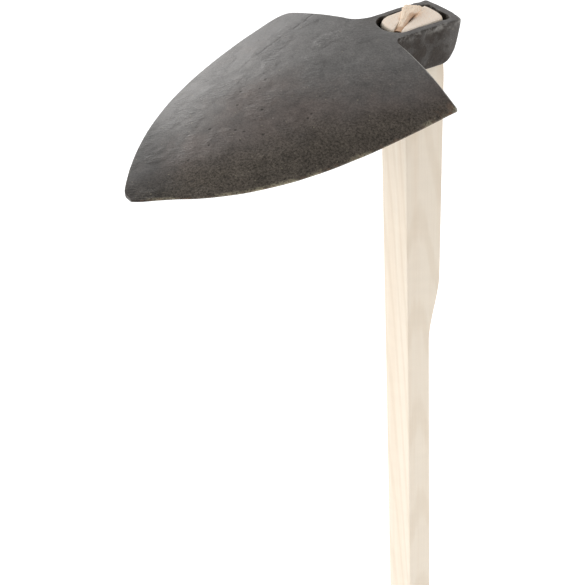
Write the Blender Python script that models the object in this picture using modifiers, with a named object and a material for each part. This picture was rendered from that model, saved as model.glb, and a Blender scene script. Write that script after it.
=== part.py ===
"""Field hoe: a broad pointed blade forged in one piece with a square eye, on a birch handle with a wedge.

Run it with blender --background --python part.py, or from Blender's text editor. Lengths are in metres.
+Z runs up the handle, the origin is the centre of the handle's butt face, and the blade points along -Y.
The head is built in its own frame, whose origin is the middle of the eye at its top, and is then set on
the handle. Its cutting edges are mirror images in the plane X = 0, and its two shoulders differ a little.
"""

import collections
import math

import bmesh
import bpy

OBJECT_NAME = "field_hoe"
GAP = 0.0003  # clearance between pieces that touch

# Handle: flat-sided, straight in front, with a deeper swell behind that ends in an S-curve.
HANDLE_LENGTH = 1.200
HANDLE_WIDTH_BUTT = 0.0285
HANDLE_WIDTH_TOP = 0.0314
HANDLE_WIDTH_EYE = 0.0292  # shaved narrower where it fills the eye
SHAVE_START = 1.143  # heights where that shaving starts and ends
SHAVE_FULL = 1.165
HANDLE_DEPTH = 0.0223
SWELL_DEPTH_LOW = 0.0110  # how far the swell stands behind the shaft, just above the S-curve
SWELL_DEPTH_TOP = 0.0158
SWELL_START = 0.909  # heights where the S-curve starts and ends
SWELL_FULL = 0.973
SHAFT_STATIONS = (0.300, 0.600, 0.800)  # heights where the plain shaft is cut into lengths
SWELL_STATIONS = 8
SHAVE_STATIONS = 4
HANDLE_EDGE_ROUND = 0.0020

# Where the head sits on the handle.
EYE_FROM_AXIS = 0.0070  # the eye's middle, behind the shaft's axis
HEAD_PITCH = math.radians(-1.2)  # about X: the blade's side is raised

# Eye, in the head's frame.
EYE_HALF_WIDTH = 0.0200
EYE_FRONT = -0.0296
EYE_BACK = 0.0300
EYE_BACK_CROWN = 0.0025
EYE_HEIGHT = 0.0338
EYE_RIM_RISE = math.tan(math.radians(3.2))  # rise of the rim plane per unit towards the blade
EYE_BACK_ROUND = 0.0120  # radius of the eye's lower back corner
EYE_BACK_REACH = 1.6  # share of that radius over which the foot of the eye turns up into it
EYE_BACK_LEAN = 0.5  # share of that radius by which the back wall stands out above the corner
HOLE_HALF_WIDTH = 0.0150
HOLE_TOP = (-0.0295, 0.0260)  # ends of the hole along Y, at the rim
HOLE_FOOT = (-0.0192, 0.0212)  # and at the foot of the eye
HOLE_FRONT_BOW = 0.0112  # depth of the rounded front end, at the rim
HOLE_BACK_ROUND = 0.0040
HOLE_OVERRUN = 0.0080
HOLE_MARGIN = 0.0030  # height beyond the rim and the foot over which the hole keeps its taper
BOW_STEPS = 8
ROUND_STEPS = 3

# Blade, in the head's frame. T runs from 0 at the shoulders to 1 at the point.
SHOULDER_Y = -0.0380
SHOULDER_HALF = 0.1016
BLADE_LENGTH = 0.2164
BLADE_END_T = 0.978  # the point is blunt
EDGE_FALL = (0.0200, 0.0383, 0.0164, -0.0147)  # depth of the cutting edge below the eye, in powers of T
EDGE_NARROWING = {1: 0.126, 2: 0.352, 4: 0.522}  # share of the half width lost, by power of T
CROWN_RADIUS = 0.2350  # of the blade's arch across its width
NECK_BLEND = 0.0050
NECK_WALL_START = -0.0276  # Y where the eye's front wall starts, and where the plate has fully left it
NECK_WALL_END = -0.0420
NECK_WALL_FADE = 0.0130  # width over which that wall runs out under each shoulder
PLATE_THICK_NECK = 0.0075
PLATE_THICK_MID = 0.0034
PLATE_THICK_EDGE = 0.0014
THINNING_LENGTH = 0.0550

# How the rows of faces run: the neck's rows end at the hollows, and the shoulders' rows sweep round
# to the corners.
NECK_LENGTH = 0.0140
SHOULDER_SWEEP = 0.0390

# The two shoulders, which a smith doesn't make quite alike: the side's sign, the radius of its neck's
# hollow, the Y of its shoulder at the neck and at the corner, and how far the corner is rounded back.
Shoulder = collections.namedtuple("Shoulder", "side neck_round root_y corner_y corner_cut")
SHOULDERS = (
    Shoulder(1.0, 0.0045, -0.0315, -0.0374, 0.0010),
    Shoulder(-1.0, 0.0120, -0.0355, -0.0452, 0.0026),
)

# Rows and columns of the head's faces.
COLUMNS_PER_SIDE = 8
EYE_ROWS = 6
NECK_ROWS = 4
SHOULDER_ROWS = 6
BLADE_ROWS = 16

# Wedge: driven from the top, across the handle from its front face to its back corner.
WEDGE_TURN = math.radians(32.0)
WEDGE_START = (0.0072, -0.0172)  # middle of its front end, from the eye's middle
WEDGE_LENGTH = 0.0300
WEDGE_DEPTH = 0.0340
WEDGE_THICK_FRONT = 0.0055
WEDGE_THICK_BACK = 0.0095
WEDGE_THICK_FOOT = 0.0022
WEDGE_PROUD_FRONT = -0.0010
WEDGE_PROUD_BACK = 0.0028
KERF_DEPTH = 0.0380
KERF_OVERRUN = 0.0150


def clear_scene():
    for obj in list(bpy.data.objects):
        bpy.data.objects.remove(obj, do_unlink=True)


def new_collection(name):
    collection = bpy.data.collections.new(name)
    bpy.context.scene.collection.children.link(collection)
    return collection


def material(name, colour, roughness, metallic):
    made = bpy.data.materials.new(name)
    made.use_nodes = True
    shader = made.node_tree.nodes["Principled BSDF"]
    shader.inputs["Base Color"].default_value = (*colour, 1.0)
    shader.inputs["Roughness"].default_value = roughness
    shader.inputs["Metallic"].default_value = metallic
    return made


def new_object(name, bm, collection, finish=None):
    mesh = bpy.data.meshes.new(name)
    bmesh.ops.recalc_face_normals(bm, faces=bm.faces)
    bm.to_mesh(mesh)
    bm.free()
    obj = bpy.data.objects.new(name, mesh)
    collection.objects.link(obj)
    if finish is not None:
        mesh.materials.append(finish)
        mesh.shade_smooth()
        mesh.set_sharp_from_angle(angle=math.radians(35))
    return obj


def hide_cutter(obj):
    obj.hide_render = True
    obj.display_type = "WIRE"


def cut(obj, cutter):
    boolean = obj.modifiers.new("cut " + cutter.name, "BOOLEAN")
    boolean.operation = "DIFFERENCE"
    boolean.solver = "EXACT"
    boolean.object = cutter


def smooth_step(value, start, end):
    share = min(1.0, max(0.0, (value - start) / (end - start)))
    return share * share * (3.0 - 2.0 * share)


def soft_min(a, b, blend):
    """The lower of two heights, with the corner between them rounded."""
    return 0.5 * (a + b - math.sqrt((a - b) ** 2 + blend**2))


# The head's plan and heights.


def edge_point(t):
    """(half width, Y) of the cutting edge at T."""
    lost = sum(share * t**power for power, share in EDGE_NARROWING.items())
    return SHOULDER_HALF * (1.0 - lost), SHOULDER_Y - BLADE_LENGTH * t


def edge_fall(t):
    return sum(share * t**power for power, share in enumerate(EDGE_FALL))


def blade_height(x, y):
    """The top of the blade, arched across its width and falling towards the point."""
    t = (SHOULDER_Y - y) / BLADE_LENGTH
    half, _ = edge_point(max(0.0, t))
    if t < 0.0:
        slope = (EDGE_FALL[1] + EDGE_NARROWING[1] * SHOULDER_HALF**2 / CROWN_RADIUS) / BLADE_LENGTH
        middle = half**2 / (2.0 * CROWN_RADIUS) - EDGE_FALL[0] + slope * (y - SHOULDER_Y)
    else:
        middle = half**2 / (2.0 * CROWN_RADIUS) - edge_fall(t)
    return middle - x**2 / (2.0 * CROWN_RADIUS)


def rim_height(y):
    return -y * EYE_RIM_RISE


def top_height(x, y):
    return soft_min(rim_height(y), blade_height(x, y), NECK_BLEND)


def plate_thickness(across, y):
    """Thickness under the top surface: across runs from 0 in the middle to 1 at the edge."""
    thinning = smooth_step(EYE_FRONT - y, 0.0, THINNING_LENGTH)
    middle = PLATE_THICK_NECK + (PLATE_THICK_MID - PLATE_THICK_NECK) * thinning
    return middle + (PLATE_THICK_EDGE - middle) * across**3


def outline(shoulder):
    """One side's outline: a point (X, Y) for each row of faces, from the eye's back to the blade's point."""
    neck_start = shoulder.root_y + shoulder.neck_round
    points = []
    for row in range(EYE_ROWS):
        points.append((EYE_HALF_WIDTH, EYE_BACK + (neck_start - EYE_BACK) * row / EYE_ROWS))
    for row in range(NECK_ROWS):
        turn = 0.5 * math.pi * row / NECK_ROWS
        x = EYE_HALF_WIDTH + shoulder.neck_round * (1.0 - math.cos(turn))
        points.append((x, neck_start - shoulder.neck_round * math.sin(turn)))
    root_x = EYE_HALF_WIDTH + shoulder.neck_round
    for row in range(SHOULDER_ROWS):
        share = row / SHOULDER_ROWS
        x = root_x + (SHOULDER_HALF - root_x) * share
        points.append((x, shoulder.root_y + (shoulder.corner_y - shoulder.root_y) * share))
    start_t = (SHOULDER_Y - shoulder.corner_y) / BLADE_LENGTH
    for row in range(BLADE_ROWS + 1):
        share = row / BLADE_ROWS
        x, y = edge_point(start_t + (BLADE_END_T - start_t) * share)
        if row == 0:
            x -= shoulder.corner_cut
            y -= shoulder.corner_cut
        points.append((x, y))
    return [(shoulder.side * x, y) for x, y in points]


def middle_line():
    """The Y of the middle of each row of faces."""
    neck_start = EYE_FRONT + 0.5 * NECK_LENGTH
    neck_end = neck_start - NECK_LENGTH
    corners = SHOULDER_Y - SHOULDER_SWEEP
    tip = SHOULDER_Y - BLADE_LENGTH * BLADE_END_T
    stretches = (
        (EYE_BACK, neck_start, EYE_ROWS),
        (neck_start, neck_end, NECK_ROWS),
        (neck_end, corners, SHOULDER_ROWS),
        (corners, tip, BLADE_ROWS),
    )
    line = [start + (end - start) * i / rows for start, end, rows in stretches for i in range(rows)]
    return [*line, tip]


def foot_of(x, y, across):
    """(Y, Z) of the underside below a point of the top surface."""
    under_plate = top_height(x, y) - plate_thickness(across, y)
    foot = rim_height(y) - EYE_HEIGHT
    inside = smooth_step(y, NECK_WALL_END, NECK_WALL_START)
    inside *= 1.0 - smooth_step(abs(x), EYE_HALF_WIDTH, EYE_HALF_WIDTH + NECK_WALL_FADE)
    foot_y = y
    turn_start = EYE_BACK - EYE_BACK_REACH * EYE_BACK_ROUND
    if y > turn_start:
        # The lower back corner is round, and the back wall leans in towards it.
        turn = 0.5 * math.pi * (y - turn_start) / (EYE_BACK - turn_start)
        foot_y = turn_start + EYE_BACK_ROUND * (EYE_BACK_LEAN * turn + 0.5 * math.sin(turn))
        foot += EYE_BACK_ROUND * (1.0 - math.cos(turn))
    return foot_y, under_plate + (foot - under_plate) * inside


def head_mesh():
    """A sheet laid over the plan, with a copy of it below as the underside and walls between the two."""
    sides = {shoulder.side: outline(shoulder) for shoulder in SHOULDERS}
    middles = middle_line()
    last_row = len(middles) - 1
    bm = bmesh.new()
    bmesh.ops.create_grid(bm, x_segments=2 * COLUMNS_PER_SIDE, y_segments=last_row, size=1.0)
    top = bmesh.ops.extrude_face_region(bm, geom=list(bm.faces))
    top_verts = {item for item in top["geom"] if isinstance(item, bmesh.types.BMVert)}
    for vert in bm.verts:
        across = vert.co.x
        row = round(0.5 * (vert.co.y + 1.0) * last_row)
        side_x, side_y = sides[math.copysign(1.0, across)][row]
        x = side_x * abs(across)
        y = middles[row] + (side_y - middles[row]) * across**2
        if vert in top_verts:
            crown = EYE_BACK_CROWN * (1.0 - across**2) if row == 0 else 0.0
            vert.co = (x, y + crown, top_height(x, y))
        else:
            vert.co = (x, *foot_of(x, y, abs(across)))
    return bm


def hole_section(ends, half_width, z):
    """The eye's hole at one height: square behind with round corners, bowed in front."""
    front, back = ends
    points = []
    for step in range(BOW_STEPS + 1):
        turn = math.pi * step / BOW_STEPS
        bow = HOLE_FRONT_BOW * (1.0 - math.sin(turn))
        points.append((-half_width * math.cos(turn), front + bow, z))
    for side, first in ((1.0, 0.0), (-1.0, 0.5 * math.pi)):
        for step in range(ROUND_STEPS + 1):
            turn = first + 0.5 * math.pi * step / ROUND_STEPS
            x = side * (half_width - HOLE_BACK_ROUND) + HOLE_BACK_ROUND * math.cos(turn)
            points.append((x, back - HOLE_BACK_ROUND + HOLE_BACK_ROUND * math.sin(turn), z))
    return points


def square_section(ends, half_width, z):
    """The same points as hole_section, with the front square like the back."""
    across = [half_width * (2.0 * step / BOW_STEPS - 1.0) for step in range(BOW_STEPS + 1)]
    front = [(x, ends[0], z) for x in across]
    return front + hole_section(ends, half_width, z)[len(front) :]


def hole_mesh():
    """A loft from the square foot of the hole to its half-round top."""
    foot_z = -EYE_HEIGHT - HOLE_MARGIN
    top_z = HOLE_MARGIN
    sections = (
        square_section(HOLE_FOOT, HOLE_HALF_WIDTH, foot_z - HOLE_OVERRUN),
        square_section(HOLE_FOOT, HOLE_HALF_WIDTH, foot_z),
        hole_section(HOLE_TOP, HOLE_HALF_WIDTH, top_z),
        hole_section(HOLE_TOP, HOLE_HALF_WIDTH, top_z + HOLE_OVERRUN),
    )
    bm = bmesh.new()
    loops = [[bm.verts.new(point) for point in section] for section in sections]
    for lower, upper in zip(loops, loops[1:]):
        for i, vert in enumerate(lower):
            after = (i + 1) % len(lower)
            bm.faces.new((vert, lower[after], upper[after], upper[i]))
    bm.faces.new(loops[0])
    bm.faces.new(loops[-1])
    return bm


def make_head(parts, cutters):
    steel = material("forged_steel", (0.115, 0.105, 0.100), 0.48, 0.75)
    head = new_object("hoe_head", head_mesh(), parts, steel)
    hole = new_object("eye_hole", hole_mesh(), cutters)
    hide_cutter(hole)
    for obj in (head, hole):
        obj.location = (0.0, EYE_FROM_AXIS, HANDLE_LENGTH)
        obj.rotation_euler = (HEAD_PITCH, 0.0, 0.0)
    cut(head, hole)
    return head


# The handle and its wedge.


def handle_stations():
    rise = SWELL_FULL - SWELL_START
    curve = [SWELL_START + rise * step / SWELL_STATIONS for step in range(SWELL_STATIONS + 1)]
    shave = SHAVE_FULL - SHAVE_START
    shaved = [SHAVE_START + shave * step / SHAVE_STATIONS for step in range(SHAVE_STATIONS + 1)]
    return [*SHAFT_STATIONS, *curve, *shaved]


def handle_mesh():
    """A box cut across at each station, with its corners moved to the section there."""
    bm = bmesh.new()
    bmesh.ops.create_cube(bm, size=1.0)
    for vert in bm.verts:
        vert.co.z = HANDLE_LENGTH * (vert.co.z + 0.5)
    for station in handle_stations():
        everything = list(bm.verts) + list(bm.edges) + list(bm.faces)
        bmesh.ops.bisect_plane(bm, geom=everything, plane_co=(0, 0, station), plane_no=(0, 0, 1))
    for vert in bm.verts:
        z = vert.co.z
        width = HANDLE_WIDTH_BUTT + (HANDLE_WIDTH_TOP - HANDLE_WIDTH_BUTT) * z / HANDLE_LENGTH
        width += (HANDLE_WIDTH_EYE - HANDLE_WIDTH_TOP) * smooth_step(z, SHAVE_START, SHAVE_FULL)
        above = max(0.0, (z - SWELL_FULL) / (HANDLE_LENGTH - SWELL_FULL))
        swell = SWELL_DEPTH_LOW * smooth_step(z, SWELL_START, SWELL_FULL)
        swell += (SWELL_DEPTH_TOP - SWELL_DEPTH_LOW) * above
        vert.co.x *= width
        vert.co.y = 0.5 * HANDLE_DEPTH + swell if vert.co.y > 0.0 else -0.5 * HANDLE_DEPTH
    return bm


def wedge_thickness(y, z):
    """The wedge's thickness at a distance from its front end and a height from the handle's top."""
    widening = (WEDGE_THICK_BACK - WEDGE_THICK_FRONT) * y / WEDGE_LENGTH
    return WEDGE_THICK_FRONT + widening + (WEDGE_THICK_FRONT - WEDGE_THICK_FOOT) * z / WEDGE_DEPTH


def wedge_mesh(ends, foot, proud_front, proud_back, grow=0.0):
    """A tapered block along +Y between its ends, grown by a clearance on its flanks."""
    bm = bmesh.new()
    bmesh.ops.create_cube(bm, size=1.0)
    for vert in bm.verts:
        at_back = vert.co.y > 0.0
        y = ends[1] if at_back else ends[0]
        z = foot
        if vert.co.z > 0.0:
            z = proud_back if at_back else proud_front
        half = 0.5 * wedge_thickness(y, z) + grow
        vert.co = (math.copysign(half, vert.co.x), y, z)
    return bm


def place_on_kerf(obj):
    obj.location = (WEDGE_START[0], EYE_FROM_AXIS + WEDGE_START[1], HANDLE_LENGTH)
    obj.rotation_euler = (0.0, 0.0, WEDGE_TURN)


def make_handle(parts, cutters):
    birch = material("birch", (0.82, 0.72, 0.58), 0.55, 0.0)
    handle = new_object("handle", handle_mesh(), parts, birch)
    bevel = handle.modifiers.new("long edges", "BEVEL")
    bevel.width = HANDLE_EDGE_ROUND
    bevel.segments = 2
    bevel.limit_method = "ANGLE"
    bevel.angle_limit = math.radians(50)
    ends = (-KERF_OVERRUN, WEDGE_LENGTH + KERF_OVERRUN)
    kerf_bm = wedge_mesh(ends, -KERF_DEPTH, KERF_OVERRUN, KERF_OVERRUN, grow=GAP)
    kerf = new_object("kerf", kerf_bm, cutters)
    hide_cutter(kerf)
    place_on_kerf(kerf)
    cut(handle, kerf)
    return handle


def make_wedge(parts):
    pine = material("wedge_wood", (0.74, 0.56, 0.38), 0.65, 0.0)
    bm = wedge_mesh((0.0, WEDGE_LENGTH), -WEDGE_DEPTH, WEDGE_PROUD_FRONT, WEDGE_PROUD_BACK)
    wedge = new_object("wedge", bm, parts, pine)
    place_on_kerf(wedge)
    return wedge


def main():
    clear_scene()
    parts = new_collection(OBJECT_NAME)
    cutters = new_collection("cutters")
    make_head(parts, cutters)
    make_handle(parts, cutters)
    make_wedge(parts)


main()
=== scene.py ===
"""Field hoe, finished: a forged head, a planed birch handle and a torn wedge, in a plain studio.

Lengths are in metres and +Z runs up the handle. The head is shaped in its own frame, whose origin is the
middle of the eye at its top with the blade along -Y, and is then set on the handle.
"""

import logging
import math
from dataclasses import dataclass, field
from enum import Enum

import bmesh
import bpy
from bmesh.types import BMesh, BMVert
from bpy.types import Material, Node, NodeSocket, NodeTree, Object
from mathutils import Matrix, Vector, noise


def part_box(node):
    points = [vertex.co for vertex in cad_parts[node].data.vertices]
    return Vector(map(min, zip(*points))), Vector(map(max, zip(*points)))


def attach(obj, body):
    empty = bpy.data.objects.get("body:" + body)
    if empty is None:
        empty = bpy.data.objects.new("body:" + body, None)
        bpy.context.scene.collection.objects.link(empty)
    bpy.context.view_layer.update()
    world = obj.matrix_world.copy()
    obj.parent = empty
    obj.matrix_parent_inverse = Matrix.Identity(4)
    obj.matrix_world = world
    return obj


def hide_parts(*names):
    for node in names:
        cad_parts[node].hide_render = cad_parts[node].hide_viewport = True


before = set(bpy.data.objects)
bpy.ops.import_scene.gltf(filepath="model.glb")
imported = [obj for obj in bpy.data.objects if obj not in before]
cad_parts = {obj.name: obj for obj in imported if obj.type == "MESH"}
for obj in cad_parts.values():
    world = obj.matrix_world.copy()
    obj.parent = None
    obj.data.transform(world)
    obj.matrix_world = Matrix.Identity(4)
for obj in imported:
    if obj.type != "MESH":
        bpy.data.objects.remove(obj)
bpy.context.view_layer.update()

log = logging.getLogger("field_hoe")

BODY = "root"
EYE_BACK_OUT = 0.0325  # from the eye's middle to the back of its crowned wall
HEAD_PITCH = math.radians(-1.2)


class Slot(Enum):
    """The material slots, whose values name the materials."""

    STEEL = "forged_steel"
    BIRCH = "birch"
    WEDGE = "wedge_wood"


class Band(Enum):
    """The bands of rows along the head, from the eye's back to the blade's point, with their row counts."""

    RIM = 4
    EYE = 28
    NECK = 10
    SHOULDER = 14
    CORNER = 6
    BLADE = 60


class Face(Enum):
    """The two sheets of the head: its top and its underside."""

    TOP = 0
    FOOT = 1


class Seed(Enum):
    """Where each surface's ripples lie in the noise, so that no two are alike."""

    PLATE = 3.0
    PLATE_FINE = 5.0
    NICK = 7.0
    WALL = 11.0
    WALL_FINE = 17.0
    FLUTE = 23.0
    SAWN = 2.0
    SAWN_FINE = 9.0
    STAIN = 4.0
    FIBRE = 6.0
    TUFT = 8.0


def blend(start: float, end: float, share: float) -> float:
    """The value at a share of the way from start to end."""
    return start + (end - start) * share


def smooth_step(value: float, start: float, end: float) -> float:
    """Runs from 0 at start to 1 at end, level at both."""
    share = min(1.0, max(0.0, (value - start) / (end - start)))
    return share * share * (3.0 - 2.0 * share)


def soft_min(a: float, b: float, round_off: float) -> float:
    """The lower of two heights, with the corner between them rounded."""
    return 0.5 * (a + b - math.sqrt((a - b) ** 2 + round_off**2))


def ripple(place: Vector, size: float, seed: Seed) -> float:
    """Smooth noise from about -1 to 1 whose lumps measure size."""
    return noise.noise(place / size + Vector((seed.value, 2.0 * seed.value, -seed.value)))


def round_corner(
    across: float, along: float, half: float, end: float, radius: float
) -> tuple[float, float, Vector]:
    """Moves a point near a rectangle's corner onto a round one.

    Args:
        across: the point's distance from the middle line, which may be negative.
        along: the point's place along the middle line.
        half: the rectangle's half width.
        end: the rectangle's end, on the side of larger along.
        radius: the corner's radius.

    Returns:
        The moved point, and the way it moved out, or a zero vector away from the corner.
    """
    side = math.copysign(1.0, across)
    off = Vector((abs(across) - (half - radius), along - (end - radius)))
    if min(off) <= 0.0:
        return across, along, Vector((0.0, 0.0))
    off *= max(off) / off.length
    out = off.normalized()
    return side * (half - radius + off.x), end - radius + off.y, Vector((side * out.x, out.y))


class Value:
    """A shader value. Arithmetic on it adds Math nodes to its tree."""

    def __init__(self, board: "Board", socket: NodeSocket) -> None:
        """Wraps an output socket of the board's tree."""
        self.board = board
        self.socket = socket

    def __add__(self, other: "Value | float") -> "Value":
        """self + other."""
        return self.board.maths("ADD", self, other)

    def __sub__(self, other: "Value | float") -> "Value":
        """self - other."""
        return self.board.maths("SUBTRACT", self, other)

    def __mul__(self, other: "Value | float") -> "Value":
        """self * other."""
        return self.board.maths("MULTIPLY", self, other)

    def __pow__(self, other: "Value | float") -> "Value":
        """self to the power of other."""
        return self.board.maths("POWER", self, other)

    def __rsub__(self, other: float) -> "Value":
        """other - self."""
        return self.board.maths("SUBTRACT", other, self)

    def __abs__(self) -> "Value":
        """The value without its sign."""
        return self.board.maths("ABSOLUTE", self)

    __radd__ = __add__
    __rmul__ = __mul__

    def rise(self, start: float, end: float) -> "Value":
        """A mask that runs smoothly from 0 at start to 1 at end. End may be the lower of the two.

        Args:
            start: the value that gives 0.
            end: the value that gives 1.

        Returns:
            The mask.
        """
        low, high = ("To Min", "To Max") if start < end else ("To Max", "To Min")
        span = {"From Min": min(start, end), "From Max": max(start, end)}
        sockets = {"Value": self, **span, low: 0.0, high: 1.0}
        made = self.board.node("ShaderNodeMapRange", {"interpolation_type": "SMOOTHSTEP"}, sockets)
        return Value(self.board, made.outputs[0])

    def highest(self, other: "Value | float") -> "Value":
        """The larger of the two."""
        return self.board.maths("MAXIMUM", self, other)


Plug = Value | NodeSocket | float | tuple[float, ...]


@dataclass
class Board:
    """A material's nodes, and the short ways of adding to them."""

    tree: NodeTree

    def node(
        self, kind: str, settings: dict | None = None, sockets: dict[str | int, Plug] | None = None
    ) -> Node:
        """Adds a node.

        Args:
            kind: the node's type, such as ShaderNodeTexNoise.
            settings: its properties. "stops" is a ramp's list of (place, colour).
            sockets: values or links for its inputs, by name or number.

        Returns:
            The node.
        """
        made = self.tree.nodes.new(kind)
        for name, setting in (settings or {}).items():
            if name == "stops":
                self._set_stops(made, setting)
            else:
                setattr(made, name, setting)
        for name, plug in (sockets or {}).items():
            self.plug(made.inputs[name], plug)
        return made

    def _set_stops(self, ramp: Node, stops: list[tuple[float, tuple[float, ...]]]) -> None:
        """Gives a colour ramp its stops.

        Args:
            ramp: the ramp's node.
            stops: each stop's place, from 0 to 1, and its colour.
        """
        elements = ramp.color_ramp.elements
        while len(elements) < len(stops):
            elements.new(1.0)
        for element, (place, colour) in zip(elements, stops):
            element.position = place
            element.color = (*colour, 1.0)

    def plug(self, socket: NodeSocket, plug: Plug) -> None:
        """Links a value to an input, or sets the input to a number or colour.

        Args:
            socket: the input.
            plug: a value or output to link, or a number or colour.
        """
        if isinstance(plug, Value):
            self.tree.links.new(plug.socket, socket)
        elif isinstance(plug, NodeSocket):
            self.tree.links.new(plug, socket)
        else:
            socket.default_value = plug

    def maths(self, operation: str, *values: "Value | float") -> Value:
        """One Math node."""
        made = self.node("ShaderNodeMath", {"operation": operation}, dict(enumerate(values)))
        return Value(self, made.outputs[0])

    def mix(self, share: Plug, first: Plug, second: Plug) -> NodeSocket:
        """The first colour turned into the second by a share."""
        colours = {0: share, 6: first, 7: second}
        return self.node("ShaderNodeMix", {"data_type": "RGBA"}, colours).outputs[2]

    def shade(self, colour: Plug, brightness: Value) -> NodeSocket:
        """A colour with its brightness multiplied."""
        grey = self.node("ShaderNodeCombineColor", None, dict.fromkeys(range(3), brightness)).outputs[0]
        settings = {"data_type": "RGBA", "blend_type": "MULTIPLY"}
        return self.node("ShaderNodeMix", settings, {0: 1.0, 6: colour, 7: grey}).outputs[2]

    def place(self) -> NodeSocket:
        """Object coordinates, in metres."""
        return self.node("ShaderNodeTexCoord").outputs["Object"]

    def stretched(
        self, scale: tuple[float, float, float], turn: tuple[float, float, float] = (0.0, 0.0, 0.0)
    ) -> NodeSocket:
        """Object coordinates turned and then scaled."""
        turned = self.node("ShaderNodeMapping", None, {"Vector": self.place(), "Rotation": turn}).outputs[0]
        return self.node("ShaderNodeMapping", None, {"Vector": turned, "Scale": scale}).outputs[0]

    def attribute(self, name: str) -> Value:
        """A number kept on the mesh."""
        return Value(self, self.node("ShaderNodeAttribute", {"attribute_name": name}).outputs["Fac"])

    def axes(self) -> tuple[Value, Value, Value]:
        """The three object coordinates, apart."""
        made = self.node("ShaderNodeSeparateXYZ", None, {0: self.place()})
        return tuple(Value(self, output) for output in made.outputs)

    def noise(
        self, scale: float, detail: float = 2.0, rough: float = 0.5, at: Plug | None = None, warp: float = 0.0
    ) -> Value:
        """A noise texture's value.

        Args:
            scale: lumps per metre, or per unit of the coordinates given.
            detail: octaves of finer noise.
            rough: how strong those octaves are.
            at: the coordinates, when they aren't the plain object ones.
            warp: distortion.

        Returns:
            The value, from about 0.2 to 0.8 around 0.5.
        """
        sockets = {
            "Vector": self.place() if at is None else at,
            "Scale": scale,
            "Detail": detail,
            "Roughness": rough,
            "Distortion": warp,
        }
        return Value(self, self.node("ShaderNodeTexNoise", None, sockets).outputs[0])

    def specks(self, scale: float, size: float, at: Plug | None = None) -> Value:
        """A mask of separate round specks.

        Args:
            scale: cells per metre, each with one speck.
            size: a speck's radius as a share of its cell.
            at: the coordinates, when they aren't the plain object ones.

        Returns:
            1 in the specks and 0 between them.
        """
        sockets = {"Vector": self.place() if at is None else at, "Scale": scale}
        made = self.node("ShaderNodeTexVoronoi", None, sockets)
        return Value(self, made.outputs["Distance"]).rise(size, 0.4 * size)

    def bump(self, height: Value, distance: float, strength: float) -> NodeSocket:
        """A normal bent by a height, where a height of 1 stands a distance proud."""
        sockets = {"Height": height, "Distance": distance, "Strength": strength}
        return self.node("ShaderNodeBump", None, sockets).outputs[0]


def new_material(slot: Slot, name: str = "") -> tuple[Material, Board, Node]:
    """A new material with its board and its Principled node.

    Args:
        slot: the material slot, which names it.
        name: another name for it.

    Returns:
        The material, its board and its Principled node.
    """
    made = bpy.data.materials.new(name or slot.value)
    made.use_nodes = True
    return made, Board(made.node_tree), made.node_tree.nodes["Principled BSDF"]


@dataclass(frozen=True)
class SteelMasks:
    """The masks over the head that the steel's colour, gloss and relief share."""

    x: Value  # across the head
    y: Value  # along it, from the eye's middle
    edge_gap: Value  # distance to the cutting edge
    wear: Value  # how rubbed the metal is
    soot_and_shade: Value  # how sooty it is, with painted shade in the hole
    broad: Value
    mottle: Value
    grit: Value
    fine: Value
    near: Value  # rises towards the near edge
    low: Value  # full along the near edge's rim, where the scale gets an olive tone and painted shade


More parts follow.
